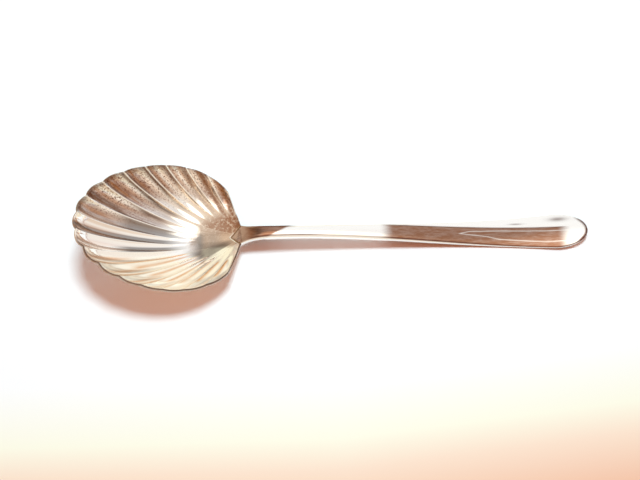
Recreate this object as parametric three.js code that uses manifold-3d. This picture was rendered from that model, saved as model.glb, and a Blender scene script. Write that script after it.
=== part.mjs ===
// Shell-bowl serving spoon in silver plate: a die-struck fluted bowl, a forged stem let into a V-shaped
// notch in the bowl's heel and lapped under it, and the hard solder that fills the joint.
// Millimetres. While it is built, x = 0 is the neck, the bowl runs to -x and the stem to +x, y = 0 is the
// plane of symmetry, and z = 0 is the table that the bowl's underside and the stem's end rest on.
import * as THREE from "three";
import { mergeVertices } from "three/addons/utils/BufferGeometryUtils.js";
import Module from "manifold-3d";

const wasm = await Module();
wasm.setup();

const DEGREE = Math.PI / 180;

// Bowl, in plan
const BOWL_LENGTH = 69.1; // neck to the tip of the rim
const BOWL_WIDTH = 58.4; // across the ridges
const HEEL_ROUND = 2.3; // how far the rim's oval runs on past the neck
const TIP_TAPER = 0.115; // share by which the oval is narrower at the tip and wider at the heel
const SHOULDER_ANGLE = 142.5 * DEGREE; // turn of the oval from the tip to where the shoulder leaves it
const NECK_HALF = 4.6; // half width of the bowl's heel where the stem enters

// Bowl, in depth
const BOWL_DEPTH = 19.6; // below the plane of the rim
const RIM_PITCH = 14.3 * DEGREE; // the rim rises from the neck to the tip
const HEEL_DROP = 2.2; // the heel dips this much below the plane of the rim
const HEEL_DROP_OVER = 16; // and is back in it this far from the neck
const WALL_TIP = 0.6; // exponent of the wall at the tip: the lower, the fuller and steeper
const WALL_HEEL = 1; // and at the heel, where the wall is more of a ramp
const WALL_BLEND = 0.8; // share of the length over which one passes into the other
const WALL_EASE = 0.04; // keeps the wall a little off vertical at the rim
const SHEET = 1.1; // thickness of the struck sheet
const WEAR = 0.15; // depth of the flat worn where the bowl rests

// Flutes, a fan of hollows parted by sharp ridges
const FLUTES = 17;
const FLUTE_DEPTH = 0.145; // depth of a flute as a share of its width
const FLUTE_START = 0.22; // share of the way from neck to rim where the flutes begin to sink
const FLUTE_FULL = 0.7; // and where they are full
const FADE_ALONG = 0.6; // share of the way where the flutes of the sides begin to run out again
const FADE_LEFT = 0.15; // share of their depth that is left at the rim
const FADE_FROM = 0.1; // the flutes between here and the middle of the fan keep all of theirs
const FADE_TO = 0.65; // and those past here lose the most
const FAN_SWING = 3.3 * DEGREE; // the flutes half way along the rim's sides are set back this much
const FAN_SKEW = 1.5; // and the flutes at the heel are set forward nearer the neck
const FAN_FLARE = 0.25; // the ridges curve outwards to the rim

// Joint
const NOTCH = 4.5; // depth of the V in the bowl's heel
const SOLDER = 0.3; // thickness of the solder
const CLEAR = 6; // how far the cutters of the joint stand clear of the sheet's inside
const TONGUE = 8; // how far the stem's tongue laps under the bowl past the notch
const TONGUE_HALF = 4; // half width of the tongue
const TONGUE_TIP = 0.7; // thickness at the tongue's rounded end
const TONGUE_ROUND = 0.5; // share of its thickness that the tongue loses towards its sides

// Stem
const STEM_LENGTH = 159; // neck to the rounded end
const STEM_HALF_MIN = 3; // half width at the slimmest
const STEM_HALF_END = 8.3; // half width of the rounded end
const END_ROUND = 15; // length of the rounded end
const END_FULLNESS = 2.2; // 2 is a half ellipse, more is blunter
const NECK_FLARE = 5; // length over which the neck narrows to the stem
const FLARE_POWER = 1.1; // how suddenly it does
const WIDEN_FROM = 25; // the stem widens from here
const WIDEN_TO = 144; // to here
const WIDEN_POWER = 1.6; // over 1, most of it near the end
const NECK_THICK = 4.2;
const END_THICK = 1.6;
const THIN_FROM = 35; // the stem thins from here
const THIN_TO = 150; // to here
const ARCH = -0.6; // height of the arch over the plane of the rim at the neck
const ARCH_AT = 16; // where the stem is highest
const REST_AT = 123; // where its underside meets the table
const END_LIFT = 2.6; // how far the end turns up again
const CROWN = 0.45; // the top face is this much higher in the middle
const EDGE_SHARE = 0.42; // radius of the rounded edges as a share of the thickness
const END_FACET = 0.4; // half width of the facets that close the stem's two ends

// Facets
const FLUTE_STEPS = 4;
const ROWS = 18;
const ROW_POWER = 1.5; // rows crowd towards the rim, where the wall turns steep
const LAP_ROWS = 5; // rows of the bowl that the joint lies in
const STEM_STEPS = 10; // across the stem
const TONGUE_STEPS = 8; // along the tongue
const NECK_STEPS = 15; // along the notch and the neck
const SHANK_STEPS = 26; // along the stem
const END_STEPS = 10; // along its rounded end
const NUDGE = 0.05; // distance over which a slope is taken

const smooth = (from, to, value) => {
  const share = Math.min(Math.max((value - from) / (to - from), 0), 1);
  return share * share * (3 - 2 * share);
};
const mix = (a, b, share) => a + (b - a) * share;

// Plan of the bowl

const OVAL_HALF = (BOWL_LENGTH + HEEL_ROUND) / 2;
const OVAL_MIDDLE = HEEL_ROUND - OVAL_HALF;
const ovalHalfWidth = (towardsTip) => (BOWL_WIDTH / 2) * (1 - TIP_TAPER * towardsTip);

// A ray's end on the rim. side is -1 to 1 across the fan, and the flutes are even in it.
function rimPoint(side) {
  const swing = FAN_SWING * Math.sin(2 * Math.PI * Math.abs(side) ** FAN_SKEW);
  const turn = Math.sign(side) * (SHOULDER_ANGLE * Math.abs(side) + swing);
  const towardsTip = Math.cos(turn);
  return [OVAL_MIDDLE - OVAL_HALF * towardsTip, ovalHalfWidth(towardsTip) * Math.sin(turn)];
}

// A ray's start on the V of the notch, moved towards the stem by grow.
function notchPoint(side, grow) {
  const arm = Math.hypot(NOTCH, NECK_HALF);
  return [-NOTCH * (1 - Math.abs(side)) + (grow * arm) / NECK_HALF, side * NECK_HALF];
}

function planPoint(side, along, grow = 0) {
  const [x0, y0] = notchPoint(side, grow);
  const [x1, y1] = rimPoint(side);
  const flare = FAN_FLARE * (1 - side ** 4);
  return [mix(x0, x1, along), mix(y0, y1, along ** (1 + flare))];
}

// Depth of the bowl

// Height of the unfluted inside: the pitched plane of the rim, less the dip of the heel and an oval hollow.
function bowlHeight(x, y) {
  const towardsTip = (OVAL_MIDDLE - x) / OVAL_HALF;
  const across = y / ovalHalfWidth(Math.min(Math.max(towardsTip, -1), 1));
  const inside = Math.max(1 + WALL_EASE - towardsTip ** 2 - across ** 2, 0);
  const power = mix(WALL_TIP, WALL_HEEL, smooth(-BOWL_LENGTH * WALL_BLEND, 0, x));
  const hollow = (inside / (1 + WALL_EASE)) ** power;
  const atRim = (WALL_EASE / (1 + WALL_EASE)) ** power;
  const dip = HEEL_DROP * (1 - smooth(0, HEEL_DROP_OVER, -x));
  return -Math.tan(RIM_PITCH) * x - dip - BOWL_DEPTH * (hollow - atRim);
}

// Unit normal of the unfluted inside, pointing out of the bowl.
function bowlNormal(x, y) {
  const slopeX = (bowlHeight(x + NUDGE, y) - bowlHeight(x - NUDGE, y)) / (2 * NUDGE);
  const slopeY = (bowlHeight(x, y + NUDGE) - bowlHeight(x, y - NUDGE)) / (2 * NUDGE);
  return new THREE.Vector3(slopeX, slopeY, -1).normalize();
}

// Depth of the flute at a point: a parabola from ridge to ridge, in proportion to its width there. It
// runs out before the rim, except at the tip.
function fluteDepth(side, along) {
  const place = (side * FLUTES) / 2 + 0.5;
  const share = place - Math.floor(place);
  const step = 0.5 / FLUTES;
  const [xa, ya] = planPoint(Math.max(side - step, -1), along);
  const [xb, yb] = planPoint(Math.min(side + step, 1), along);
  const width = Math.hypot(xb - xa, yb - ya) * 2;
  const sideways = smooth(FADE_FROM, FADE_TO, Math.abs(side));
  const kept = 1 - (1 - FADE_LEFT) * sideways * smooth(FADE_ALONG, 1, along);
  return 4 * share * (1 - share) * FLUTE_DEPTH * width * smooth(FLUTE_START, FLUTE_FULL, along) * kept;
}

// A point of the sheet, offset from its inside face along the normal.
function sheetPoint(side, along, offset, grow = 0) {
  const [x, y] = planPoint(side, along, grow);
  const out = bowlNormal(x, y).multiplyScalar(fluteDepth(side, along) + offset);
  return out.add(new THREE.Vector3(x, y, bowlHeight(x, y)));
}

// Solids

// A closed solid between two grids of points, upper(i, j) and lower(i, j).
function between(upper, lower, rows, columns) {
  const positions = [];
  const index = [];
  const size = (rows + 1) * (columns + 1);
  for (const face of [upper, lower]) {
    for (let i = 0; i <= rows; i++) {
      for (let j = 0; j <= columns; j++) {
        positions.push(...face(i, j).toArray());
      }
    }
  }
  const at = (face, i, j) => face * size + i * (columns + 1) + j;
  const quad = (a, b, c, d) => index.push(a, c, b, a, d, c);
  for (let i = 0; i < rows; i++) {
    for (let j = 0; j < columns; j++) {
      quad(at(0, i, j), at(0, i + 1, j), at(0, i + 1, j + 1), at(0, i, j + 1));
      quad(at(1, i, j), at(1, i, j + 1), at(1, i + 1, j + 1), at(1, i + 1, j));
    }
  }
  for (let i = 0; i < rows; i++) {
    quad(at(0, i, 0), at(1, i, 0), at(1, i + 1, 0), at(0, i + 1, 0));
    quad(at(0, i, columns), at(0, i + 1, columns), at(1, i + 1, columns), at(1, i, columns));
  }
  for (let j = 0; j < columns; j++) {
    quad(at(0, 0, j), at(0, 0, j + 1), at(1, 0, j + 1), at(1, 0, j));
    quad(at(0, rows, j), at(1, rows, j), at(1, rows, j + 1), at(0, rows, j + 1));
  }
  const geometry = new THREE.BufferGeometry();
  geometry.setAttribute("position", new THREE.Float32BufferAttribute(positions, 3));
  geometry.setIndex(index);
  return geometry;
}

function toManifold(geometry) {
  const merged = mergeVertices(geometry, 1e-4);
  const vertProperties = new Float32Array(merged.attributes.position.array);
  const triVerts = new Uint32Array(merged.index.array);
  return new wasm.Manifold(new wasm.Mesh({ numProp: 3, vertProperties, triVerts }));
}

function toGeometry(manifold) {
  const mesh = manifold.getMesh();
  const geometry = new THREE.BufferGeometry();
  geometry.setAttribute("position", new THREE.BufferAttribute(mesh.vertProperties, mesh.numProp));
  geometry.setIndex(new THREE.BufferAttribute(mesh.triVerts, 1));
  return geometry;
}

const rowAt = (i) => 1 - (1 - i / ROWS) ** ROW_POWER;
const sideAt = (j, columns) => -1 + (2 * j) / columns;

// The sheet between two offsets from its inside face.
function sheet(above, below, grow, rows) {
  const columns = FLUTES * FLUTE_STEPS;
  return between(
    (i, j) => sheetPoint(sideAt(j, columns), rowAt(i), above, grow),
    (i, j) => sheetPoint(sideAt(j, columns), rowAt(i), below, grow),
    rows,
    columns,
  );
}

// Bowl: the struck sheet, worn flat where it stands on the table.

const bowlSheet = toManifold(sheet(0, SHEET, 0, ROWS));
const TABLE_LEVEL = bowlSheet.boundingBox().min[2] + WEAR;

const worn = new THREE.BoxGeometry(BOWL_LENGTH, BOWL_WIDTH, 2 * WEAR);
worn.translate(-BOWL_LENGTH / 2, 0, TABLE_LEVEL - WEAR);
worn.deleteAttribute("normal");
worn.deleteAttribute("uv");
const shellBowl = bowlSheet.subtract(toManifold(worn));

// Stem: one forging from the tongue under the bowl to the rounded end.

const LAP_END = -NOTCH - TONGUE;
const END_MIDDLE = STEM_LENGTH - END_ROUND;
const NECK_SLOPE = (bowlHeight(NUDGE, 0) - bowlHeight(-NUDGE, 0)) / (2 * NUDGE);
const steepness = (x, y) => -1 / bowlNormal(x, y).z; // upright thickness of the sheet for each mm of sheet

function stemThickness(x) {
  return mix(NECK_THICK, END_THICK, smooth(THIN_FROM, THIN_TO, x));
}

// Half width of the stem, and of its heel before the sheet's place is cut out of it.
function stemHalf(x) {
  if (x < 0) {
    const short = 1 - Math.min((x - LAP_END) / TONGUE_HALF, 1);
    const tongue = TONGUE_HALF * Math.sqrt(1 - short ** 2);
    return Math.max(mix(tongue, NECK_HALF, smooth(-NOTCH, 0, x)), END_FACET);
  }
  const neck = (NECK_HALF - STEM_HALF_MIN) * Math.exp(-((x / NECK_FLARE) ** FLARE_POWER));
  const wide = Math.min(Math.max((x - WIDEN_FROM) / (WIDEN_TO - WIDEN_FROM), 0), 1) ** WIDEN_POWER;
  const widen = (STEM_HALF_END - STEM_HALF_MIN) * wide;
  const past = Math.max((x - END_MIDDLE) / END_ROUND, 0);
  return Math.max((STEM_HALF_MIN + neck + widen) * Math.sqrt(1 - past ** END_FULLNESS), END_FACET);
}

// Height of the middle of the top face: out of the bowl, over the arch, down to the table and up again.
function stemTop(x) {
  if (x < 0) {
    return bowlHeight(x, 0);
  }
  if (x < ARCH_AT) {
    const share = x / ARCH_AT;
    const rise = NECK_SLOPE * x * (1 - share) ** 2;
    return mix(bowlHeight(0, 0), ARCH, smooth(0, ARCH_AT, x)) + rise;
  }
  const down = mix(ARCH - stemThickness(ARCH_AT), TABLE_LEVEL, smooth(ARCH_AT, REST_AT, x));
  const past = Math.max((x - REST_AT) / (STEM_LENGTH - REST_AT), 0);
  return down + END_LIFT * past ** 2 + stemThickness(x);
}

// How far a point is from the middle of the stem to its outline, 0 to 1.
function stemShare(x, y) {
  const past = Math.max((x - END_MIDDLE) / END_ROUND, 0);
  return Math.min(Math.hypot(past, y / stemHalf(Math.min(x, END_MIDDLE))), 1);
}

// How far a face falls back near the outline: a quarter circle.
function edgeFall(x, y) {
  const radius = EDGE_SHARE * (stemThickness(x) - CROWN);
  const inset = (1 - stemShare(x, y)) * stemHalf(Math.min(x, END_MIDDLE));
  return radius - Math.sqrt(radius ** 2 - Math.max(radius - inset, 0) ** 2);
}

function stemUpper(x, y) {
  if (x < 0) {
    return bowlHeight(x, y);
  }
  const heel = bowlHeight(0, y) - bowlHeight(0, 0);
  const face = -CROWN * stemShare(x, y) ** 2 - edgeFall(x, y);
  return stemTop(x) + mix(heel, face, smooth(0, ARCH_AT / 2, x));
}

function stemLower(x, y) {
  const share = stemShare(x, y);
  const lapAtNeck = NECK_THICK - SHEET - SOLDER;
  if (x < 0) {
    const lap = mix(TONGUE_TIP, lapAtNeck, smooth(LAP_END, 0, x)) * (1 - TONGUE_ROUND * share ** 2);
    return bowlHeight(x, y) - (SHEET + SOLDER + lap) * steepness(x, y);
  }
  const heel = bowlHeight(0, y) - bowlHeight(0, 0);
  const atNeck = heel - (stemThickness(x) - lapAtNeck * TONGUE_ROUND * share ** 2) * steepness(0, y);
  const onStem = edgeFall(x, y) - stemThickness(x);
  return stemTop(x) + mix(atNeck, onStem, smooth(0, ARCH_AT, x));
}

// Stations along the stem, from one place to another, crowded towards the end if power is over 1.
function stations(from, to, count, power) {
  return Array.from({ length: count }, (_, i) => mix(from, to, 1 - (1 - i / count) ** power));
}

const stemStations = [
  LAP_END,
  ...stations(-NOTCH, LAP_END, TONGUE_STEPS, 2).reverse(),
  ...stations(-NOTCH, ARCH_AT, NECK_STEPS, 1).slice(1),
  ...stations(ARCH_AT, END_MIDDLE, SHANK_STEPS, 1),
  ...stations(END_MIDDLE, STEM_LENGTH, END_STEPS, 2),
  STEM_LENGTH,
];

function stemPoint(i, j, height) {
  const x = stemStations[i];
  const y = -stemHalf(x) * Math.sin((Math.PI / 2) * sideAt(j, STEM_STEPS));
  return new THREE.Vector3(x, y, height(x, y));
}

const stemBlank = toManifold(
  between(
    (i, j) => stemPoint(i, j, stemUpper),
    (i, j) => stemPoint(i, j, stemLower),
    stemStations.length - 1,
    STEM_STEPS,
  ),
);

// Joint: the sheet's place is cut out of the blank with room for the solder, which fills that room.

const sheetPlace = toManifold(sheet(-CLEAR, SHEET, 0, LAP_ROWS));
const sheetAndSolder = toManifold(sheet(-CLEAR / 2, SHEET + SOLDER, SOLDER, LAP_ROWS));
const stem = stemBlank.subtract(sheetAndSolder);
const solderSeam = stemBlank.intersect(sheetAndSolder).subtract(sheetPlace);

// Scene

const silverPlate = () => new THREE.MeshStandardMaterial({ color: 0xd8cfc4, metalness: 1, roughness: 0.18 });
const hardSolder = () => new THREE.MeshStandardMaterial({ color: 0xe6dcc6, metalness: 1, roughness: 0.35 });

function piece(name, manifold, material) {
  const mesh = new THREE.Mesh(toGeometry(manifold), material);
  mesh.name = name;
  return mesh;
}

const spoon = new THREE.Group();
spoon.add(piece("shell_bowl", shellBowl, silverPlate()));
spoon.add(piece("stem", stem, silverPlate()));
spoon.add(piece("solder_seam", solderSeam, hardSolder()));

// The origin is on the table, under the middle of the whole.
const whole = new THREE.Box3().setFromObject(spoon);
spoon.position.set(-(whole.min.x + whole.max.x) / 2, 0, -TABLE_LEVEL);

export default spoon;
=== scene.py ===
import math

import bpy
import numpy as np
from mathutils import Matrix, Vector


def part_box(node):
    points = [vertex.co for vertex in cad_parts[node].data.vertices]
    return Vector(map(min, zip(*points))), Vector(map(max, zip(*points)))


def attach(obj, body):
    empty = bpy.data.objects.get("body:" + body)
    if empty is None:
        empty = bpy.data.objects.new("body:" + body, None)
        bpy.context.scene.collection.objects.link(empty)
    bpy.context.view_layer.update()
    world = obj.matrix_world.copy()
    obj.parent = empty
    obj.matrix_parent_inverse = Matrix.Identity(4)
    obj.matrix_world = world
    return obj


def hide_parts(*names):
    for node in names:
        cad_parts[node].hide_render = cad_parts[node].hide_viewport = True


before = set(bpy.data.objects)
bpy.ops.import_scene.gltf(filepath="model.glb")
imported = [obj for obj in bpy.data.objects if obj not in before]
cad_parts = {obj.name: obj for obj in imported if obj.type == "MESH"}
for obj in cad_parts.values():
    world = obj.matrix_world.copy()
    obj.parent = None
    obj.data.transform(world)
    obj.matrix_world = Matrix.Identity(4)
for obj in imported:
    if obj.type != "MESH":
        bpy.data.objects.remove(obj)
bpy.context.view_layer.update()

# Bowl: a scallop shell struck in a die from one sheet of nickel silver, then silver plated. Seventeen hollow
# flutes are parted by ridges that fade in before the middle. The rim is filed and rubbed round, and a V is
# cut in the heel to take the stem.
# Lengths are in millimetres from the neck, where bowl and stem meet, until a mesh is made of them.
BOWL_LENGTH = 69.1
BOWL_WIDTH = 58.4
HEEL_ROUND = 2.3  # how far the rim's oval runs on past the neck
TIP_TAPER = 0.115  # share by which the oval is narrower at the tip
SHOULDER_TURN = math.radians(142.5)  # turn of the oval from the tip to the shoulder
NECK_HALF = 4.6
BOWL_DEPTH = 19.6  # below the plane of the rim
RIM_PITCH = math.radians(14.3)  # the rim rises from the neck to the tip
HEEL_DROP = 2.2  # the heel dips this much below the plane of the rim
HEEL_DROP_OVER = 16  # and is back in it this far from the neck
WALL_TIP, WALL_HEEL = 0.6, 1  # powers of the wall, steep at the tip and a ramp at the heel
WALL_BLEND = 0.8  # share of the length over which one passes into the other
WALL_EASE = 0.04  # keeps the wall a little off upright at the rim
SHEET = 1.1
FLUTES = 17
FLUTE_DEPTH = 0.145  # share of the flute's width
FLUTE_START, FLUTE_FULL = 0.22, 0.7  # shares of the way from the V to the rim
FADE_FROM, FADE_TO = 0.1, 0.65  # the flutes of the sides run out towards the rim
FADE_ALONG = 0.6
FADE_LEFT = 0.15
FAN_SWING = math.radians(3.3)  # the flutes half way along the sides are set back this much
FAN_SKEW = 1.5
FAN_FLARE = 0.25  # the ridges curve outwards to the rim
NOTCH = 4.5  # depth of the V
RIDGE_RUB = 0.1  # how blunt the ridges are rubbed
RIM_RUB = 0.33
STEM_LENGTH = 159
STEP = 0.05  # slopes are measured over this to both sides

OVAL_HALF = (BOWL_LENGTH + HEEL_ROUND) / 2
OVAL_MIDDLE = HEEL_ROUND - OVAL_HALF
NECK_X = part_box("stem")[1][0] * 1000 - STEM_LENGTH
NECK_Z = 12.037  # height of the neck above the table


def ease(start, end, value):
    """0 before start, 1 after end, and between them the cubic 3t^2 - 2t^3. With end below start it falls."""
    t = np.clip((value - start) / (end - start), 0, 1)
    return t * t * (3 - 2 * t)


def mix(a, b, share):
    """The value a share of the way from a to b."""
    return a + (b - a) * share


def oval_half(towards_tip):
    """Half width of the rim's oval, a little less towards the tip."""
    return BOWL_WIDTH / 2 * (1 - TIP_TAPER * towards_tip)


def bowl_plan(side, along):
    """Ray of the fan from the V (along 0) to the rim (along 1), bent outwards. side is -1 to 1 across the
    fan."""
    swing = FAN_SWING * np.sin(2 * np.pi * np.abs(side) ** FAN_SKEW)
    turn = np.sign(side) * (SHOULDER_TURN * np.abs(side) + swing)
    rim_x = OVAL_MIDDLE - OVAL_HALF * np.cos(turn)
    rim_y = oval_half(np.cos(turn)) * np.sin(turn)
    bend = 1 + FAN_FLARE * (1 - side**4)
    return mix(-NOTCH * (1 - np.abs(side)), rim_x, along), mix(side * NECK_HALF, rim_y, along**bend)


def bowl_height(x, y):
    """Unfluted inside: the pitched plane of the rim less an oval hollow, (1 - r^2) to a power."""
    towards_tip = (OVAL_MIDDLE - x) / OVAL_HALF
    across = y / oval_half(np.clip(towards_tip, -1, 1))
    inside = np.maximum(1 + WALL_EASE - towards_tip**2 - across**2, 0)
    power = mix(WALL_TIP, WALL_HEEL, ease(-BOWL_LENGTH * WALL_BLEND, 0, x))
    hollow = (inside / (1 + WALL_EASE)) ** power - (WALL_EASE / (1 + WALL_EASE)) ** power
    dip = HEEL_DROP * (1 - ease(0, HEEL_DROP_OVER, -x))
    return -math.tan(RIM_PITCH) * x - dip - BOWL_DEPTH * hollow


def bowl_normal(x, y):
    """Unit vectors square to the unfluted inside, pointing out of the bowl, from the slopes between places a
    step to both sides."""
    slope_x = (bowl_height(x + STEP, y) - bowl_height(x - STEP, y)) / (2 * STEP)
    slope_y = (bowl_height(x, y + STEP) - bowl_height(x, y - STEP)) / (2 * STEP)
    normal = np.stack([slope_x, slope_y, -np.ones_like(slope_x)], -1)
    return normal / np.linalg.norm(normal, axis=-1, keepdims=True)


def flute_depth(side, along):
    """Parabola from ridge to ridge, its depth a share of the flute's width, rounded over at the ridge. It
    runs out before the rim except at the tip."""
    share = np.mod(side * FLUTES / 2 + 0.5, 1)
    half = 0.5 / FLUTES
    below, above = np.clip(side - half, -1, 1), np.clip(side + half, -1, 1)
    ax, ay = bowl_plan(below, along)
    bx, by = bowl_plan(above, along)
    width = np.hypot(bx - ax, by - ay) / (above - below) * 2 / FLUTES
    arch = 4 * share * (1 - share)
    rubbed = (np.sqrt(arch**2 + RIDGE_RUB**2) - RIDGE_RUB) / (math.hypot(1, RIDGE_RUB) - RIDGE_RUB)
    faded = (1 - FADE_LEFT) * ease(FADE_FROM, FADE_TO, np.abs(side)) * ease(FADE_ALONG, 1, along)
    return FLUTE_DEPTH * width * rubbed * ease(FLUTE_START, FLUTE_FULL, along) * (1 - faded)


def rounding(distance, radius):
    """How far a face falls back at this distance from its edge: a quarter circle."""
    left = radius - np.minimum(distance, radius)
    return radius - np.sqrt(radius**2 - left**2)


def strip(a, b, c, d):
    """Quads of four equal arrays of point numbers, one row per quad."""
    return np.stack([a.ravel(), b.ravel(), c.ravel(), d.ravel()], -1)


def grid_quads(numbers):
    """Quads of a grid of point numbers."""
    return strip(numbers[:-1, :-1], numbers[1:, :-1], numbers[1:, 1:], numbers[:-1, 1:])


def shell_quads(rows, columns):
    """Quads of a closed shell of two grids, the second behind the first, joined along all four edges."""
    front = np.arange(rows * columns).reshape(rows, columns)
    back = front + rows * columns
    sides = [(front[:, 0], back[:, 0]), (back[:, -1], front[:, -1])]
    ends = [(back[0], front[0]), (front[-1], back[-1])]
    walls = [strip(f[:-1], b[:-1], b[1:], f[1:]) for f, b in sides + ends]
    return np.concatenate([grid_quads(front), grid_quads(back)[:, ::-1], *walls])


def make_piece(name, points, quads, uv, uv_name, material, stains_and_painted_light):
    """A smooth mesh from points in millimetres from the neck, quads of point numbers and a place on the
    pattern for each point. Points that coincide are joined, and the faces are turned outwards: the volume,
    the sum over the faces of a . (b x c + c x d), has to be positive. Each stain or mark of painted light or
    shade is an amount from 0 to 1 at every point, kept in an attribute of its own name."""
    keep, joined = np.unique(np.round(points, 5), axis=0, return_index=True, return_inverse=True)[1:]
    quads = joined.reshape(-1)[quads]
    points = points[keep] + np.array([NECK_X, 0, NECK_Z])
    a, b, c, d = (points[quads[:, k]] for k in range(4))
    volume = (a * (np.cross(b, c) + np.cross(c, d))).sum()
    if volume < 0:
        quads = quads[:, ::-1]
    faces = [list(dict.fromkeys(quad)) for quad in quads.tolist()]
    mesh = bpy.data.meshes.new(name)
    mesh.from_pydata((points / 1000).tolist(), [], [face for face in faces if len(face) > 2])
    corners = np.empty(len(mesh.loops), np.int32)
    mesh.loops.foreach_get("vertex_index", corners)
    uv_map = mesh.uv_layers.new(name=uv_name)
    uv_map.data.foreach_set("uv", uv[keep][corners].astype(np.float32).ravel())
    for mark, amounts in stains_and_painted_light.items():
        attribute = mesh.attributes.new(mark, "FLOAT", "POINT")
        attribute.data.foreach_set("value", amounts.ravel()[keep].astype(np.float32))
    mesh.shade_smooth()
    mesh.materials.append(material)
    piece = bpy.data.objects.new(name, mesh)
    bpy.context.scene.collection.objects.link(piece)
    return piece


def linear(hexcode):
    """Linear colour of an sRGB hex value."""
    parts = [int(hexcode[k : k + 2], 16) / 255 for k in (1, 3, 5)]
    return [c / 12.92 if c <= 0.04045 else ((c + 0.055) / 1.055) ** 2.4 for c in parts] + [1]


def add(tree, kind, inputs=None, **settings):
    """Adds a node, sets its settings, and gives each input a value or a link."""
    node = tree.nodes.new(kind)
    for name, value in settings.items():
        setattr(node, name, value)
    for name, value in (inputs or {}).items():
        if isinstance(value, bpy.types.NodeSocket):
            tree.links.new(value, node.inputs[name])
        else:
            node.inputs[name].default_value = value
    return node


def new_material(name):
    """An empty material with its output and one principled shader."""
    material = bpy.data.materials.new(name)
    material.use_nodes = True
    return material, material.node_tree, material.node_tree.nodes["Principled BSDF"]


def paint_marks(tree, colour, stains_and_painted_light):
    """The colour with each stain or painted mark of light or shade mixed over it in turn, by its attribute
    times what breaks it up.
    """
    for mark, hexcode, broken in stains_and_painted_light:
        amount = add(tree, "ShaderNodeAttribute", attribute_name=mark)
        share = add(tree, "ShaderNodeMath", {0: amount.outputs["Fac"], 1: broken}, operation="MULTIPLY")
        over = {0: share.outputs[0], 6: colour, 7: linear(hexcode)}
        colour = add(tree, "ShaderNodeMix", over, data_type="RGBA").outputs[2]
    return colour


# Polished silver plate of the bowl: bright, with painted shade in the lee of the ridges, a painted tan
# reflection over the far half, partly tarnish, and painted orange reflection streaks on the near one. It
# shows fine pits where the plate has worn, and a net of hair scratches. A pale cream painted over the near
# flutes stands in for their bright reflection; there the plate is a little less of a mirror, and so takes
# light from the lamp.
HAIRS = (60, 3000, 600)  # scratches of about 17 mm by a third of a millimetre
bowl_silver, tree, shader = new_material("silver_plate_bowl")
place = add(tree, "ShaderNodeTexCoord").outputs["Object"]
flutes = add(tree, "ShaderNodeUVMap", uv_map="flutes")
# One unit of this map is a flute across and the whole way along, so streaks are about 0.7 mm by 9 mm.
along_flutes = add(tree, "ShaderNodeMapping", {"Vector": flutes.outputs[0], "Scale": (11, 7, 1)})
streak_noise = {"Vector": along_flutes.outputs[0], "Scale": 1, "Detail": 5, "Roughness": 0.7}
streaks = add(tree, "ShaderNodeTexNoise", streak_noise)
streak_map = {"Value": streaks.outputs[0], "From Min": 0.35, "From Max": 0.6, "To Min": 0.6}
streaky = add(tree, "ShaderNodeMapRange", streak_map).outputs[0]
# Pits of 0.7 mm and flecks of 1.3 mm are drawn as coarse as they need to be to show.
pits = add(tree, "ShaderNodeTexNoise", {"Vector": place, "Scale": 1 / 0.0007, "Detail": 2})
pit_map = {"Value": pits.outputs[0], "From Min": 0.52, "From Max": 0.66}
pitted = add(tree, "ShaderNodeMapRange", pit_map).outputs[0]
fleck_noise = {"Vector": place, "Scale": 1 / 0.0013, "Detail": 4, "Roughness": 0.7}
flecks = add(tree, "ShaderNodeTexNoise", fleck_noise)
fleck_map = {"Value": flecks.outputs[0], "From Min": 0.62, "From Max": 0.5, "To Min": 0.4}
flecked = add(tree, "ShaderNodeMapRange", fleck_map).outputs[0]
# All but the specks stand in for light or shade: painted brightness on the near flutes, painted tan, brown
# and orange reflections, painted grey shade, and painted shade beside the ridges and along the rim. The tan
# and brown are partly tarnish as well.
colour = paint_marks(
    tree,
    linear("#fffdf9"),
    [
        ("painted_near_brightness", "#fff4e0", 1.0),
        ("painted_tan_reflection", "#8a5e48", streaky),
        ("brown_tarnish_and_painted_reflection", "#9c6640", flecked),
        ("painted_grey_shade", "#746a66", 1.0),
        ("painted_orange_reflection", "#dc9650", streaky),
        ("painted_lee_shade", "#4a3226", streaky),
        ("specks", "#7a4f38", pitted),
        ("painted_rim_shade", "#5c3d30", 1.0),
    ],
)
# Where the tan reflection is painted, the plate is also a little rougher.
tan_amount = add(tree, "ShaderNodeAttribute", attribute_name="painted_tan_reflection")
dull = add(tree, "ShaderNodeMapRange", {"Value": tan_amount.outputs["Fac"], "To Min": 0.06, "To Max": 0.2})
# The plate is less of a mirror where the near flutes' bright reflection is painted.
painted_brightness_amount = add(tree, "ShaderNodeAttribute", attribute_name="painted_near_brightness")
metallic = add(tree, "ShaderNodeMapRange", {"Value": painted_brightness_amount.outputs["Fac"], "To Min": 1, "To Max": 0.6})
hairs_place = add(tree, "ShaderNodeMapping", {"Vector": place, "Rotation": (0, 0, 0.5), "Scale": HAIRS})
hairs = add(tree, "ShaderNodeTexNoise", {"Vector": hairs_place.outputs[0], "Scale": 1, "Detail": 2})
waves = add(tree, "ShaderNodeTexNoise", {"Vector": place, "Scale": 1 / 0.006, "Detail": 1})
bump_waves = add(tree, "ShaderNodeBump", {"Height": waves.outputs[0], "Strength": 1, "Distance": 0.00003})
bump_pits = add(
    tree,
    "ShaderNodeBump",
    {"Height": pitted, "Distance": 0.000008, "Strength": 0.6, "Normal": bump_waves.outputs[0]},
)
bump_hairs = add(
    tree,
    "ShaderNodeBump",
    {"Height": hairs.outputs[0], "Distance": 0.000006, "Strength": 0.5, "Normal": bump_pits.outputs[0]},
)
tree.links.new(colour, shader.inputs["Base Color"])
tree.links.new(dull.outputs[0], shader.inputs["Roughness"])
tree.links.new(metallic.outputs[0], shader.inputs["Metallic"])
tree.links.new(bump_hairs.outputs[0], shader.inputs["Normal"])

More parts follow.
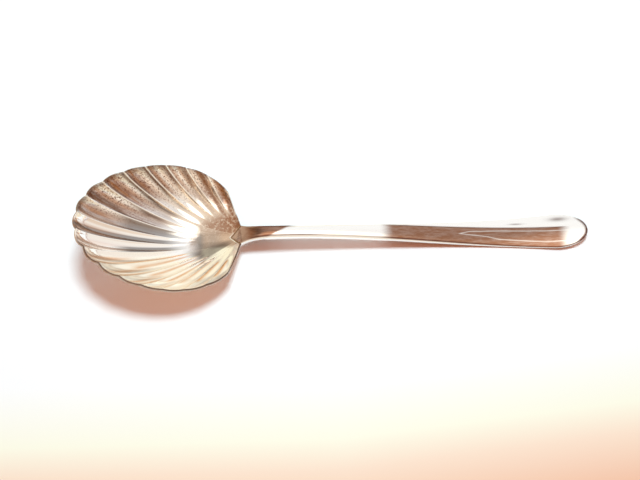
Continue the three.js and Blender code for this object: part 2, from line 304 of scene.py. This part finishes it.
# The grid of the fan: its columns crowd at the ridges and its rows at the rim.
FLUTE_COLUMNS, COLUMN_CROWD = 18, 0.7
FAN_ROWS, ROW_CROWD = 110, 1.8
steps = np.arange(FLUTES * FLUTE_COLUMNS + 1)
columns = steps / FLUTE_COLUMNS - COLUMN_CROWD * np.sin(2 * np.pi * steps / FLUTE_COLUMNS) / (2 * np.pi)
rows = 1 - (1 - np.arange(FAN_ROWS + 1) / FAN_ROWS) ** ROW_CROWD
side, along = np.meshgrid(2 * columns / FLUTES - 1, rows)
x, y = bowl_plan(side, along)
base = np.stack([x, y, bowl_height(x, y)], -1)
normal = bowl_normal(x, y)
step_out = np.linalg.norm(np.diff(base, axis=0), axis=-1)
step_round = np.linalg.norm(np.diff(base, axis=1), axis=-1)
# How far each point is from the nearest edge of the sheet, measured along the grid.
from_rim = np.zeros_like(x)
from_rim[:-1] = np.cumsum(step_out[::-1], axis=0)[::-1]
from_shoulder = np.zeros_like(x)
from_shoulder[:, 1:] = np.cumsum(step_round, axis=1)
other_shoulder = np.zeros_like(x)
other_shoulder[:, :-1] = np.cumsum(step_round[:, ::-1], axis=1)[:, ::-1]
edge = np.minimum(from_rim, np.minimum(from_shoulder, other_shoulder))
depth = flute_depth(side, along)
inner = base + normal * (depth + rounding(edge, RIM_RUB))[..., None]
outer = base + normal * (depth + SHEET - rounding(edge, RIM_RUB))[..., None]
outer[..., 2] = np.maximum(outer[..., 2], -NECK_Z)  # worn flat where it rests on the table
points = np.concatenate([inner.reshape(-1, 3), outer.reshape(-1, 3)])
pattern = np.stack([side * FLUTES / 2 + 0.5, along], -1).reshape(-1, 2)


def hump(value, middle, half):
    """1 at the middle, falling to about a third at half away: exp(-((value - middle) / half)^2)."""
    return np.exp(-(((value - middle) / half) ** 2))


across = np.mod(side * FLUTES / 2 + 0.5, 1)
number = np.floor(side * FLUTES / 2 + 0.5)


def by_flute(amounts):
    """A value for each flute, from amounts held at some of their numbers: 0 at the tip, 8 at the far shoulder
    and -8 at the near one."""
    return np.interp(number, list(amounts), list(amounts.values()))


def streak(middle, half):
    """1 where the place across the flute is the middle, falling off to both sides and round the ridges."""
    return hump(np.mod(across - middle + 0.5, 1), 0.5, half)


# Painted highlight: the painted reflection leaves the ridges of the far half bright, and a glow that runs
# down each of its flutes.
outwards = ease(0.65, 0.9, along)
ridge = hump(np.abs(across - 0.5), 0.5, 0.045) * ease(0.35, 0.5, along) * ease(-0.1, 0.1, side)
glow_place = by_flute({0: 0.8, 1: 0.97, 2: 0.8, 3: 0.75, 4: 0.6, 5: 0.5, 6: 0.38, 7: 0.22, 8: 0.05})
painted_highlight = streak(glow_place, 0.2) * outwards
# Painted shade: a dark streak beside each ridge of the far half, which wanders across its flute to the rim.
lee_place = by_flute({1: 0.7, 2: 0.8, 3: 0.75, 4: 0.78, 5: 0.95, 6: 0.5, 8: 0.5})
lee_drift = by_flute({1: 0.6, 2: 0.45, 3: 0.22, 4: 0.2, 5: 0, 6: 0.25, 7: 0.1, 8: 0.1})
lee_inner = by_flute({0: 0, 1: 0.1, 2: 0.65, 3: 0.85, 4: 0.5, 5: 0.15, 6: 0.15, 7: 0.3, 8: 0.3})
lee_rim = by_flute({0: 0, 1: 0.3, 2: 0.8, 3: 1, 4: 1, 5: 0.65, 6: 0.55, 7: 0.75, 8: 0.65})
lee = streak(lee_place + lee_drift * outwards, 0.16)
lee *= mix(lee_inner, lee_rim, outwards) * ease(0.5, 0.62, along)
# Painted shade along the far rim, too.
far_edge = by_flute({0: 0, 1: 0.6, 5: 0.6, 8: 0.2}) * ease(3.5, 0.5, edge)
# Painted reflection, with some tarnish: tan over the far half towards the rim, brown round the heel.
tan_inner = by_flute({0: 0, 1: 0.35, 2: 0.7, 3: 0.5, 4: 0.2, 5: 0.05, 6: 0.1, 7: 0.3, 8: 0.6})
tan_rim = by_flute({-1: 0, 0: 0.1, 1: 0.8, 3: 1, 4: 1, 5: 0.9, 6: 0.8, 8: 0.7})
painted_tan_reflection = mix(tan_inner * ease(0.42, 0.6, along), tan_rim, outwards) * (1 - painted_highlight)
heel_brown = by_flute({-4: 0, -2: 0.2, 1: 0.2, 3: 0.45, 4: 0.75, 8: 0.9}) * ease(0.45, 0.25, along)
side_brown = by_flute({5: 0, 6: 0.35, 7: 0.8, 8: 0.9}) * streak(0.45, 0.35) * (1 - painted_highlight)
# Painted grey shade: half of each flute at the tip, and a patch on the floor of the near half.
tip_shade = by_flute({-2: 0, -1: 1, 0: 1, 1: 0.9, 2: 0}) * ease(0.3, 0.5, along)
tip_shade *= np.where(number == 1, 1, ease(0.62, 0.52, across))
tip_shade *= np.where(number == 0, 1, ease(0.85, 0.7, along))
floor_shade = ease(-0.56, -0.51, side) * ease(-0.18, -0.38, side)
floor_shade *= ease(0.42, 0.32, along) * ease(0, 0.12, along)
# Painted orange reflection: thin streaks along the near flutes, half way out and at the rim.
line_place = by_flute({-8: 0.97, -6: 1, -5: 0.75, -4: 0.8, -3: 0.75, -2: 0.2})
lines = streak(line_place, by_flute({-6: 0.15, -5: 0.09}))
lines *= ease(0.35, 0.42, along) * ease(0.85, 0.75, along)
lines *= by_flute({-8: 1, -7: 1, -6: 0.9, -5: 0.9, -2: 0.9, -1: 0})
rim_orange = by_flute({-6: 0, -5: 0.4, -4: 0.9, -2: 0.9, -1: 0.4})
rim_orange *= (streak(0.55, 0.12) + streak(0.2, 0.1)) * outwards
# Stains and painted light: all but the specks are painted shade, painted reflection or painted brightness.
stains_and_painted_light = {
    "painted_tan_reflection": painted_tan_reflection * (1 - ridge),
    "brown_tarnish_and_painted_reflection": np.maximum(heel_brown, side_brown) * (1 - ridge),
    "painted_grey_shade": np.clip(0.8 * tip_shade + 0.7 * floor_shade, 0, 1) * (1 - ridge),
    "painted_orange_reflection": np.clip(lines + rim_orange, 0, 1),
    "painted_lee_shade": np.maximum(lee, far_edge) * (1 - ridge),
    "specks": ease(0.05, 0.2, side) * ease(0.5, 0.95, along) * (1 - ridge),
    # Painted brightness, standing in for the near flutes' bright reflection.
    "painted_near_brightness": ease(-0.1, -0.3, side) * ease(0.4, 0.55, along + 0.45 * ease(-0.6, -0.75, side)),
    # Painted shade: a dark line round the rim, stronger on the near side.
    "painted_rim_shade": ease(0.6, 0.1, edge) * (0.25 + 0.75 * ease(-0.05, -0.2, side)),
}
# Each painted mark of light or shade counts here as a stain.
OUTSIDE_MARK = 0.5  # share of each stain that the outside has
bowl = make_piece(
    "fluted_bowl",
    points,
    shell_quads(*x.shape),
    np.concatenate([pattern, pattern]),
    "flutes",
    bowl_silver,
    {mark: np.concatenate([a.ravel(), OUTSIDE_MARK * a.ravel()]) for mark, a in stains_and_painted_light.items()},
)
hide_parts("shell_bowl")
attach(bowl, "root")

# Stem: one forging of nickel silver, plated. A V-shaped root fills the notch flush with the bowl, a tongue
# laps under the heel, the shank arches down to the table, and the end is beaten thin, rounded and turned up
# a little.
STEM_HALF_MIN, STEM_HALF_END = 3, 8.3
END_ROUND, END_FULLNESS = 15, 2.2  # length of the rounded end, and its power: 2 is a half ellipse
NECK_FLARE, FLARE_POWER = 5, 1.1  # length over which the neck narrows, and how suddenly it does
WIDEN_FROM, WIDEN_TO, WIDEN_POWER = 25, 144, 1.6
NECK_THICK, END_THICK = 4.2, 1.6
THIN_FROM, THIN_TO = 35, 150
ARCH, ARCH_AT = -0.6, 16  # height of the stem's highest place, and how far from the neck it is
REST_AT = 123  # where the underside meets the table
END_LIFT = 2.6  # how far the end turns up again
CROWN = 0.45  # the top face is this much higher in the middle
EDGE_SHARE = 0.42  # radius of the rounded edge as a share of the thickness
ROOT_RUB = 0.3  # and of the root and tongue
SOLDER = 0.3
TONGUE, TONGUE_HALF = 8, 4
TONGUE_TIP = 0.7  # thickness at the tongue's rounded end
TONGUE_ROUND = 0.5  # share of its thickness that the tongue loses towards its sides
LAP_END = -NOTCH - TONGUE
END_MIDDLE = STEM_LENGTH - END_ROUND
HEEL_HEIGHT = float(bowl_height(np.array(0.0), np.array(0.0)))
before_heel, past_heel = bowl_height(np.array([-STEP, STEP]), np.zeros(2))
HEEL_SLOPE = float(past_heel - before_heel) / (2 * STEP)


def stem_thickness(x):
    """Thick along the shank and eased to thin at the end."""
    return mix(NECK_THICK, END_THICK, ease(THIN_FROM, THIN_TO, x))


def stem_half(x):
    """Half width: a tongue with a half circle for its tip, the flare of the neck, exp(-(x / flare)^power), a
    slim shank that widens as a power, and a rounded end."""
    short = 1 - np.clip((x - LAP_END) / TONGUE_HALF, 0, 1)
    tongue = mix(TONGUE_HALF * np.sqrt(1 - short**2), NECK_HALF, ease(-NOTCH, 0, x))
    flare = (NECK_HALF - STEM_HALF_MIN) * np.exp(-((np.maximum(x, 0) / NECK_FLARE) ** FLARE_POWER))
    wide = np.clip((x - WIDEN_FROM) / (WIDEN_TO - WIDEN_FROM), 0, 1) ** WIDEN_POWER
    widen = (STEM_HALF_END - STEM_HALF_MIN) * wide
    past = np.clip((x - END_MIDDLE) / END_ROUND, 0, 1)
    shank = (STEM_HALF_MIN + flare + widen) * np.sqrt(1 - past**END_FULLNESS)
    return np.where(x < 0, tongue, shank)


def stem_top(x):
    """Height of the top's middle: on along the bowl's slope, eased over the arch and down to the table, and
    up again with the square."""
    share = np.clip(x / ARCH_AT, 0, 1)
    neck = mix(HEEL_HEIGHT, ARCH, ease(0, ARCH_AT, x)) + HEEL_SLOPE * x * (1 - share) ** 2
    low = mix(ARCH - stem_thickness(ARCH_AT), -NECK_Z, ease(ARCH_AT, REST_AT, x))
    past = np.clip((x - REST_AT) / (STEM_LENGTH - REST_AT), 0, 1)
    shank = low + END_LIFT * past**2 + stem_thickness(np.minimum(x, STEM_LENGTH))
    return np.where(x < ARCH_AT, neck, shank)


def stem_share(x, y):
    """0 in the middle of the stem and 1 at its outline: the distance from the middle line in half widths, or
    in the rounded end from its middle. Half widths near 0 count as a tenth of a millimetre."""
    past = np.maximum((x - END_MIDDLE) / END_ROUND, 0)
    half = np.maximum(stem_half(np.minimum(x, END_MIDDLE)), 0.1)
    return np.minimum(np.hypot(past, y / half), 1)


def stem_upper(x, y):
    """Top face: flush with the bowl in the V, then a low crown that falls with the square of the share."""
    heel = bowl_height(np.zeros_like(x), y) - HEEL_HEIGHT
    shank = stem_top(x) + mix(heel, -CROWN * stem_share(x, y) ** 2, ease(0, ARCH_AT / 2, x))
    return np.where(x < 0, bowl_height(x, y), shank)


def steepness(x, y):
    """Upright thickness of the sheet for each millimetre of sheet."""
    return -1 / bowl_normal(x, y)[..., 2]


def stem_lower(x, y):
    """Underside: the lap under the sheet and the solder, thinner towards its sides with the square of the
    share, then the stem's own flat back."""
    share = stem_share(x, y)
    lap_at_neck = NECK_THICK - SHEET - SOLDER
    lap = mix(TONGUE_TIP, lap_at_neck, ease(LAP_END, 0, x)) * (1 - TONGUE_ROUND * share**2)
    under = bowl_height(x, y) - (SHEET + SOLDER + lap) * steepness(x, y)
    zero = np.zeros_like(x)
    thick = stem_thickness(np.maximum(x, 0))
    rounded = thick - lap_at_neck * TONGUE_ROUND * share**2
    at_neck = bowl_height(zero, y) - HEEL_HEIGHT - rounded * steepness(zero, y)
    return np.where(x < 0, under, stem_top(x) + mix(at_neck, -thick, ease(0, ARCH_AT, x)))


# The rows run from the middle line to the outline and back. They lie along the arms of the V at the notch,
# and fan out round both ends.
TIP_ROWS, NECK_ROWS, SHANK_ROWS, END_ROWS = 24, 40, 150, 40
FLAT_COLUMNS, ROUND_COLUMNS = 24, 7
SQUARE_FROM = 8  # from here to the rounded end the rows run straight across
END_FAN = 7  # length of the fan of rows in the rounded end
seam_gap = SOLDER * math.hypot(NOTCH, NECK_HALF) / NECK_HALF
tip_rows = LAP_END + (seam_gap - LAP_END) * (1 - np.cos(np.linspace(0, np.pi / 2, TIP_ROWS + 1)[:-1]))
neck_rows = np.linspace(seam_gap, ARCH_AT, NECK_ROWS)
shank_rows = np.linspace(ARCH_AT, END_MIDDLE, SHANK_ROWS)[1:]
end_rows = END_MIDDLE + END_ROUND * np.sin(np.linspace(0, np.pi / 2, END_ROWS + 1)[1:])
outline_x = np.concatenate([tip_rows, [seam_gap], neck_rows, shank_rows, end_rows])
outline_y = stem_half(outline_x)
under_sheet = np.arange(len(outline_x)) <= len(tip_rows)
middle_x = np.interp(
    outline_x,
    [LAP_END, seam_gap, SQUARE_FROM, END_MIDDLE, STEM_LENGTH],
    [LAP_END + TONGUE_HALF, seam_gap - NOTCH, SQUARE_FROM, END_MIDDLE, STEM_LENGTH - END_FAN],
)
# The way out of the outline, from its slope. Two rows share a place at the seam, so each is set a trace on.
slope = np.gradient(outline_y, outline_x + np.arange(len(outline_x)) * 1e-9)
slope[0], slope[-1] = 1e6, -1e6
out_x, out_y = -slope / np.hypot(slope, 1), 1 / np.hypot(slope, 1)
rub = EDGE_SHARE * (stem_upper(outline_x, outline_y) - stem_lower(outline_x, outline_y))
rub = np.where(outline_x < 0, ROOT_RUB, mix(ROOT_RUB, rub, ease(0, NECK_FLARE, outline_x)))[:, None]
sweep = np.linspace(0, np.pi / 2, ROUND_COLUMNS)
inset_x, inset_y = outline_x[:, None] - rub * out_x[:, None], outline_y[:, None] - rub * out_y[:, None]
flat = np.linspace(0, 1, FLAT_COLUMNS + 1)[None, :-1]
flat_x, flat_y = mix(middle_x[:, None], inset_x, flat), inset_y * flat
bend_x = outline_x[:, None] - rub * (1 - np.sin(sweep)) * out_x[:, None]
bend_y = outline_y[:, None] - rub * (1 - np.sin(sweep)) * out_y[:, None]
fall = rub * (1 - np.cos(sweep))


def upper_or_buried(x, y):
    """The top face, or, for the tongue, a face inside the sheet that it is soldered to."""
    return np.where(under_sheet[:, None], bowl_height(x, y) - SHEET / 2 * steepness(x, y), stem_upper(x, y))


top_z = [upper_or_buried(flat_x, flat_y), upper_or_buried(inset_x, inset_y) - fall]
low_z = [stem_lower(flat_x, flat_y), stem_lower(inset_x, inset_y) + fall]
half_x = np.concatenate([flat_x, bend_x, bend_x[:, ::-1], flat_x[:, ::-1]], 1)
half_y = np.concatenate([flat_y, bend_y, bend_y[:, ::-1], flat_y[:, ::-1]], 1)
half_z = np.concatenate([*top_z, low_z[1][:, ::-1], low_z[0][:, ::-1]], 1)
far_half = np.stack([half_x, half_y, half_z], -1)
near_half = far_half[:, -2:0:-1] * np.array([1, -1, 1])
rings = np.concatenate([far_half, near_half], 1)
numbers = np.arange(rings.shape[0] * rings.shape[1]).reshape(rings.shape[:2])
closed = np.concatenate([numbers, numbers[:, :1]], 1)

# Polished silver plate of the stem: bright, with a painted brown reflection drawn out lengthwise into
# streaks of about 5 mm by 0.9 mm, painted dark shade lines at its edges and fine scratches along it.
stem_silver, tree, shader = new_material("silver_plate_stem")
place = add(tree, "ShaderNodeTexCoord").outputs["Object"]
clouds = add(tree, "ShaderNodeTexNoise", {"Vector": place, "Scale": 1 / 0.02, "Detail": 4, "Roughness": 0.6})
drawn = add(tree, "ShaderNodeMapping", {"Vector": place, "Scale": (1 / 0.005, 1 / 0.0009, 1 / 0.0009)})
streak_noise = {"Vector": drawn.outputs[0], "Scale": 1, "Detail": 4, "Roughness": 0.65}
streaks = add(tree, "ShaderNodeTexNoise", streak_noise)
streak_map = {"Value": streaks.outputs[0], "From Min": 0.3, "From Max": 0.6, "To Min": 0.86}
streaky = add(tree, "ShaderNodeMapRange", streak_map).outputs[0]
stem_marks = [("painted_tan_reflection", "#916750", streaky), ("painted_dark_lines", "#5a3022", streaky)]
colour = paint_marks(tree, linear("#fdfbf7"), stem_marks)
dull = add(tree, "ShaderNodeMapRange", {"Value": clouds.outputs[0], "To Min": 0.06, "To Max": 0.18})
hairs_place = add(tree, "ShaderNodeMapping", {"Vector": place, "Scale": HAIRS})
hairs = add(tree, "ShaderNodeTexNoise", {"Vector": hairs_place.outputs[0], "Scale": 1, "Detail": 2})
bump = add(tree, "ShaderNodeBump", {"Height": hairs.outputs[0], "Distance": 0.000006, "Strength": 0.5})
tree.links.new(colour, shader.inputs["Base Color"])
tree.links.new(dull.outputs[0], shader.inputs["Roughness"])
tree.links.new(bump.outputs[0], shader.inputs["Normal"])
shader.inputs["Metallic"].default_value = 1

# How far each point of the top is from the outline, and no edge anywhere on the underside.
NO_EDGE = 9
inwards = np.hypot(half_x - outline_x[:, None], half_y - outline_y[:, None])
inwards[:, inwards.shape[1] // 2 :] = NO_EDGE
inwards = np.concatenate([inwards, inwards[:, -2:0:-1]], 1)
ring_x, ring_y = rings[..., 0], rings[..., 1]
# The painted brown reflection covers the shank up to a boundary on its far side, and the far side of the
# neck. Painted highlight lines and the rounded near edge break it. Places along the stem are paired with
# places across it.
boundary = np.interp(ring_x, [60, 104, 144], [3.3, 2.6, 1.8])
shank = ease(63, 70, ring_x) * ease(152, 145, ring_x) * ease(0.2, -0.2, ring_y - boundary)
neck = ease(0.6, -0.6, np.interp(ring_x, [9, 16, 25], [-4.5, -1, 3.6]) - ring_y)
neck *= ease(27, 22, ring_x) * mix(0.5, 1, ease(-1, 6, ring_x))
# Painted highlights: two bright lines along the wide part of the stem. The film also stays off the near edge.
upper_line = hump(ring_y, np.interp(ring_x, [100, 105, 120, 147], [-0.6, 0.5, 0.7, -0.1]), 0.2)
lower_line = hump(ring_y, np.interp(ring_x, [100, 113, 118, 140], [-0.6, -2.1, -3.4, -5.2]), 0.2)
painted_bright_lines = np.clip(upper_line + lower_line, 0, 1) * ease(99, 101, ring_x)
bright_side = ease(0.55, 0.3, inwards / rub) * (ring_y < 0)
stem_painted_reflection = np.maximum(shank, neck) * (1 - 0.6 * painted_bright_lines) * (1 - 0.85 * bright_side)
# Painted shade and reflection, dark lines: inside the near edge, along the boundary, at the far side of the
# neck and round the end, with two small patches on the far side.
edge_line = hump(inwards, 0.6 * rub + 0.15, 0.32) * (ring_y < 0) * ease(2, 8, ring_x)
edge_line *= 1 - 0.4 * ease(30, 40, ring_x) * ease(70, 60, ring_x)
top_line = 0.7 * hump(ring_y - boundary, -0.15, 0.25) * ease(63, 70, ring_x) * ease(150, 146, ring_x)
heel_line = hump(inwards, 0.5 * rub, 0.4) * (ring_y > 0) * ease(5, 12, ring_x) * ease(27, 20, ring_x)
crescent = hump(inwards, 0.6, 0.7) * ease(152.5, 156.5, ring_x)
patches = 0.7 * hump(ring_x, 126.5, 3) * hump(ring_y, 3.9, 0.35)
patches += 0.7 * hump(ring_x, 146, 4) * hump(ring_y, 5.6, 1.0)
painted_dark_lines = np.clip(edge_line + top_line + heel_line + crescent + patches, 0, 1)
stem = make_piece(
    "forged_stem",
    rings.reshape(-1, 3),
    grid_quads(closed),
    rings.reshape(-1, 3)[:, :2] / 100,
    "plan",
    stem_silver,
    {"painted_tan_reflection": stem_painted_reflection, "painted_dark_lines": painted_dark_lines},
)
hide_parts("stem")
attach(stem, "root")

# Solder: a film of hard silver solder along both arms of the V and under the lap, filed flush and a little
# duller and yellower than the plate. The solid's own shape is right, so it only gets its material.
seam_solder, tree, shader = new_material("hard_silver_solder")
place = add(tree, "ShaderNodeTexCoord").outputs["Object"]
grain = add(tree, "ShaderNodeTexNoise", {"Vector": place, "Scale": 1 / 0.0008, "Detail": 2})
yellows = {0: grain.outputs[0], 6: linear("#dcc4a4"), 7: linear("#a88868")}
yellow = add(tree, "ShaderNodeMix", yellows, data_type="RGBA")
dull = add(tree, "ShaderNodeMapRange", {"Value": grain.outputs[0], "To Min": 0.25, "To Max": 0.45})
bump = add(tree, "ShaderNodeBump", {"Height": grain.outputs[0], "Distance": 0.00003})
tree.links.new(yellow.outputs[2], shader.inputs["Base Color"])
tree.links.new(dull.outputs[0], shader.inputs["Roughness"])
tree.links.new(bump.outputs[0], shader.inputs["Normal"])
shader.inputs["Metallic"].default_value = 1
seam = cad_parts["solder_seam"]
seam.data.materials.clear()
seam.data.materials.append(seam_solder)

# Table: a plain white top that keeps the spoon's shadow. In front of the spoon a painted falloff of warm
# light turns it cream and peach in a band that leans a little towards the right. Well away from the spoon it
# is white to the eye.
TABLE_HALF = 3
BAND_FROM, BAND_TO = -0.065, -0.185  # metres in front of the spoon's middle line
BAND = {
    0: "#ffffff",
    0.225: "#fffde9",
    0.335: "#fee6d0",
    0.5: "#f8caae",
    0.65: "#fee6d0",
    0.85: "#ffffff",
    1: "#ffffff",
}
table_white, tree, shader = new_material("white_table")
place = add(tree, "ShaderNodeTexCoord").outputs["Object"]
spot = add(tree, "ShaderNodeSeparateXYZ", {0: place})
right = add(tree, "ShaderNodeMath", {0: spot.outputs["X"], 1: 0.0}, operation="MAXIMUM")
leaning = {0: right.outputs[0], 1: -0.1, 2: spot.outputs["Y"]}
lean = add(tree, "ShaderNodeMath", leaning, operation="MULTIPLY_ADD")
band_map = {"Value": lean.outputs[0], "From Min": BAND_FROM, "From Max": BAND_TO}
nearness = add(tree, "ShaderNodeMapRange", band_map)
# Painted warm falloff of light in the band.
painted_falloff = add(tree, "ShaderNodeValToRGB", {"Fac": nearness.outputs[0]})
stops = painted_falloff.color_ramp.elements
for position in list(BAND)[1:-1]:
    stops.new(position)
for stop, hexcode in zip(stops, BAND.values()):
    stop.color = linear(hexcode)
away = add(tree, "ShaderNodeVectorMath", {0: place}, operation="LENGTH")
beyond = add(tree, "ShaderNodeMapRange", {"Value": away.outputs["Value"], "From Min": 0.23, "From Max": 0.42})
eye = add(tree, "ShaderNodeLightPath").outputs["Is Camera Ray"]
far_white = add(tree, "ShaderNodeMath", {0: beyond.outputs[0], 1: eye}, operation="MULTIPLY")
tree.links.new(painted_falloff.outputs[0], shader.inputs["Base Color"])
tree.links.new(far_white.outputs[0], shader.inputs["Emission Strength"])
shader.inputs["Emission Color"].default_value = linear("#ffffff")
shader.inputs["Roughness"].default_value = 1
shader.inputs["Specular IOR Level"].default_value = 0

table_corners = [(x * TABLE_HALF, y * TABLE_HALF, 0) for x, y in ((-1, -1), (1, -1), (1, 1), (-1, 1))]
table_mesh = bpy.data.meshes.new("table_top")
table_mesh.from_pydata(table_corners, [], [(0, 1, 2, 3)])
table_mesh.materials.append(table_white)
table = bpy.data.objects.new("table_top", table_mesh)
bpy.context.scene.collection.objects.link(table)

# Room: what polished silver shows of the place round it. It is nearly white, warmer low down and on the near
# side, with a grey patch to the left and a bright window overhead. Into the spoon's shadow it sends cool
# light from behind and warm light from the near side, and to the eye it is white.
world = bpy.data.worlds.new("room")
bpy.context.scene.world = world
world.use_nodes = True
tree = world.node_tree
tree.nodes.clear()
way = add(tree, "ShaderNodeSeparateXYZ", {0: add(tree, "ShaderNodeTexCoord").outputs["Generated"]})
sideways = add(tree, "ShaderNodeMapRange", {"Value": way.outputs["X"], "From Min": -1, "From Max": 1})
# Each band holds colours at values of the direction's x, and takes over from the band before it between two
# values of its y. The first is the one towards the eye.
bands = [
    (None, None, {-1: "#f0dcc0", 0: "#fff2e0", 1: "#f4e8dc"}),
    (-0.9, -0.7, {-1: "#e8c8a8", -0.6: "#f0d8c0", 0: "#fbecdc", 0.4: "#f4e4d4", 1: "#e0c8b4"}),
    (
        -0.45,
        -0.15,
        {-1: "#e8ccb0", -0.5: "#f4e4d0", -0.2: "#f8ecd8", 0: "#fff8ec", 0.4: "#fbf4ec", 1: "#f4ece4"},
    ),
    (0.05, 0.25, {-0.6: "#e4c8ac", -0.35: "#a8a098", -0.12: "#ccbcb0", -0.02: "#ffffff", 1: "#f4ece8"}),
    (0.42, 0.47, {-1: "#c8a484", -0.5: "#b8a490", -0.35: "#989088", -0.12: "#e8e0dc", -0.02: "#ffffff"}),
    (0.56, 0.66, {-1: "#fff4d0", -0.45: "#fdf6dc", -0.35: "#c0b4a8", -0.15: "#f4f0ea", 0: "#ffffff"}),
    (0.76, 0.85, {-1: "#fff4d0", 0: "#fffbea", 0.5: "#ffffff"}),
]
shown = None
for begin, full, colours in bands:
    ramp = add(tree, "ShaderNodeValToRGB", {"Fac": sideways.outputs[0]})
    stops = ramp.color_ramp.elements
    while len(stops) < len(colours):
        stops.new(0.5)
    for stop, (x, hexcode) in zip(stops, colours.items()):
        stop.position = (x + 1) / 2
        stop.color = linear(hexcode)
    if shown is None:
        shown = ramp.outputs[0]
        continue
    reach = {"Value": way.outputs["Y"], "From Min": begin, "From Max": full}
    reached = add(tree, "ShaderNodeMapRange", reach, interpolation_type="SMOOTHSTEP")
    over = {0: reached.outputs[0], 6: shown, 7: ramp.outputs[0]}
    shown = add(tree, "ShaderNodeMix", over, data_type="RGBA").outputs[2]
WINDOW = (2.2, 2.1, 1.9, 1)  # brighter than white, as a window is
overhead = add(tree, "ShaderNodeMapRange", {"Value": way.outputs["Z"], "From Min": 0.92, "From Max": 0.98})
glazed = {0: overhead.outputs[0], 6: shown, 7: WINDOW}
reflected = add(tree, "ShaderNodeMix", glazed, data_type="RGBA")
backward_map = {"Value": way.outputs["Y"], "From Min": -0.3, "From Max": 0.4}
backward = add(tree, "ShaderNodeMapRange", backward_map, interpolation_type="SMOOTHSTEP")
fills = {0: backward.outputs[0], 6: linear("#cb7a56"), 7: linear("#9eb1b3")}
fill = add(tree, "ShaderNodeMix", fills, data_type="RGBA")
path = add(tree, "ShaderNodeLightPath")
by_metal = {0: path.outputs["Is Glossy Ray"], 6: fill.outputs[2], 7: reflected.outputs[2]}
metal = add(tree, "ShaderNodeMix", by_metal, data_type="RGBA")
by_eye = {0: path.outputs["Is Camera Ray"], 6: metal.outputs[2], 7: linear("#ffffff")}
seen = add(tree, "ShaderNodeMix", by_eye, data_type="RGBA")
sky = add(tree, "ShaderNodeBackground", {"Color": seen.outputs[2], "Strength": 1})
add(tree, "ShaderNodeOutputWorld", {"Surface": sky.outputs[0]})

# Lamp: one soft oval lamp high above the bowl, a little behind it and to its right, which throws the short
# shadow to the near left. It isn't shown in reflections, where the room's window stands for it.
LAMP_DISTANCE = 0.8
lamp_data = bpy.data.lights.new("key_lamp", "AREA")
lamp_data.shape = "ELLIPSE"
lamp_data.size, lamp_data.size_y = 0.28, 0.2
lamp_data.energy = 6.1
lamp_data.color = linear("#d8f6ff")[:3]
lamp = bpy.data.objects.new("key_lamp", lamp_data)
lamp_aim = Vector((-0.06, 0, 0.01))
lamp.location = lamp_aim + Vector((0.1, 0.25, 1.0)) * LAMP_DISTANCE
lamp.rotation_euler = (lamp_aim - lamp.location).to_track_quat("-Z", "Y").to_euler()
lamp.visible_glossy = False
bpy.context.scene.collection.objects.link(lamp)

# Camera: above and in front of the spoon, 460 mm from the middle of the picture.
camera_data = bpy.data.cameras.new("camera")
camera_data.sensor_width = 36
camera_data.lens = 56.25
camera = bpy.data.objects.new("camera", camera_data)
camera_aim = Vector((-0.007684, -0.000504, 0))
camera.location = (-0.012796, -0.172748, 0.4265)
camera.rotation_euler = (camera_aim - camera.location).to_track_quat("-Z", "Y").to_euler()
bpy.context.scene.collection.objects.link(camera)
bpy.context.scene.camera = camera
bpy.context.scene.view_settings.view_transform = "Standard"
